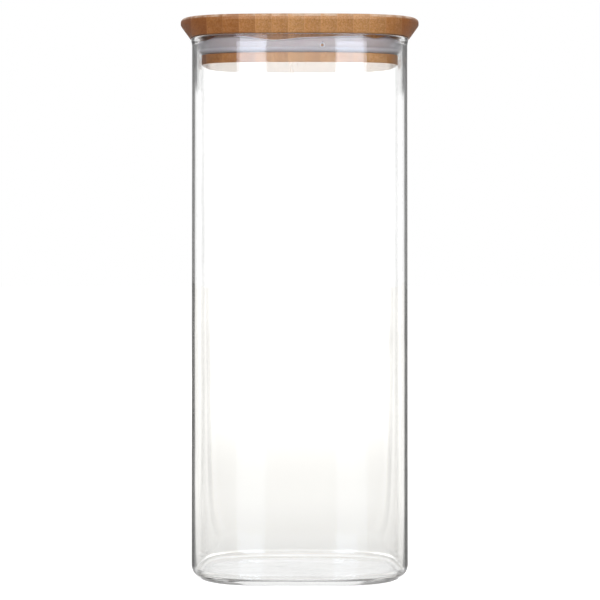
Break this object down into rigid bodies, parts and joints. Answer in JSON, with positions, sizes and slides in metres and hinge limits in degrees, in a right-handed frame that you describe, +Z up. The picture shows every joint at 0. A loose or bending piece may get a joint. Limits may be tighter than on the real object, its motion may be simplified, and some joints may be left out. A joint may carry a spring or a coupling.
{
  "type": "glass canister with bamboo lid",
  "caption": "Square glass storage canister with rounded corners and a lift-off laminated bamboo lid held by a silicone seal.",
  "frame": {"origin": "middle of the jar's underside, where it stands", "axes": "+Z up through the middle of the lid; -Y is the front, the side with the seal's vent hole; +X to the right seen from the front; the lid's strips run along Y"},
  "size_m": [0.1088, 0.1088, 0.2551],
  "materials": {
    "glass": "clear borosilicate, fire polished",
    "bamboo": "carbonised bamboo strips, oiled satin, end grain at the front and back",
    "silicone": "translucent satin silicone"
  },
  "bodies": {
    "jar": {"glass_jar": "glass"},
    "lid": {"bamboo_strip_01": "bamboo", "bamboo_strip_02": "bamboo", "bamboo_strip_03": "bamboo", "bamboo_strip_04": "bamboo", "bamboo_strip_05": "bamboo", "bamboo_strip_06": "bamboo", "bamboo_strip_07": "bamboo", "bamboo_strip_08": "bamboo", "bamboo_strip_09": "bamboo", "bamboo_strip_10": "bamboo", "bamboo_strip_11": "bamboo", "bamboo_strip_12": "bamboo", "bamboo_strip_13": "bamboo", "bamboo_strip_14": "bamboo", "bamboo_strip_15": "bamboo", "silicone_seal": "silicone"}
  },
  "joints": [
    {"name": "lid_lift", "type": "slide", "parent": "jar", "child": "lid", "axis": [0, 0, 1], "range_m": [0, 0.13]}
  ]
}
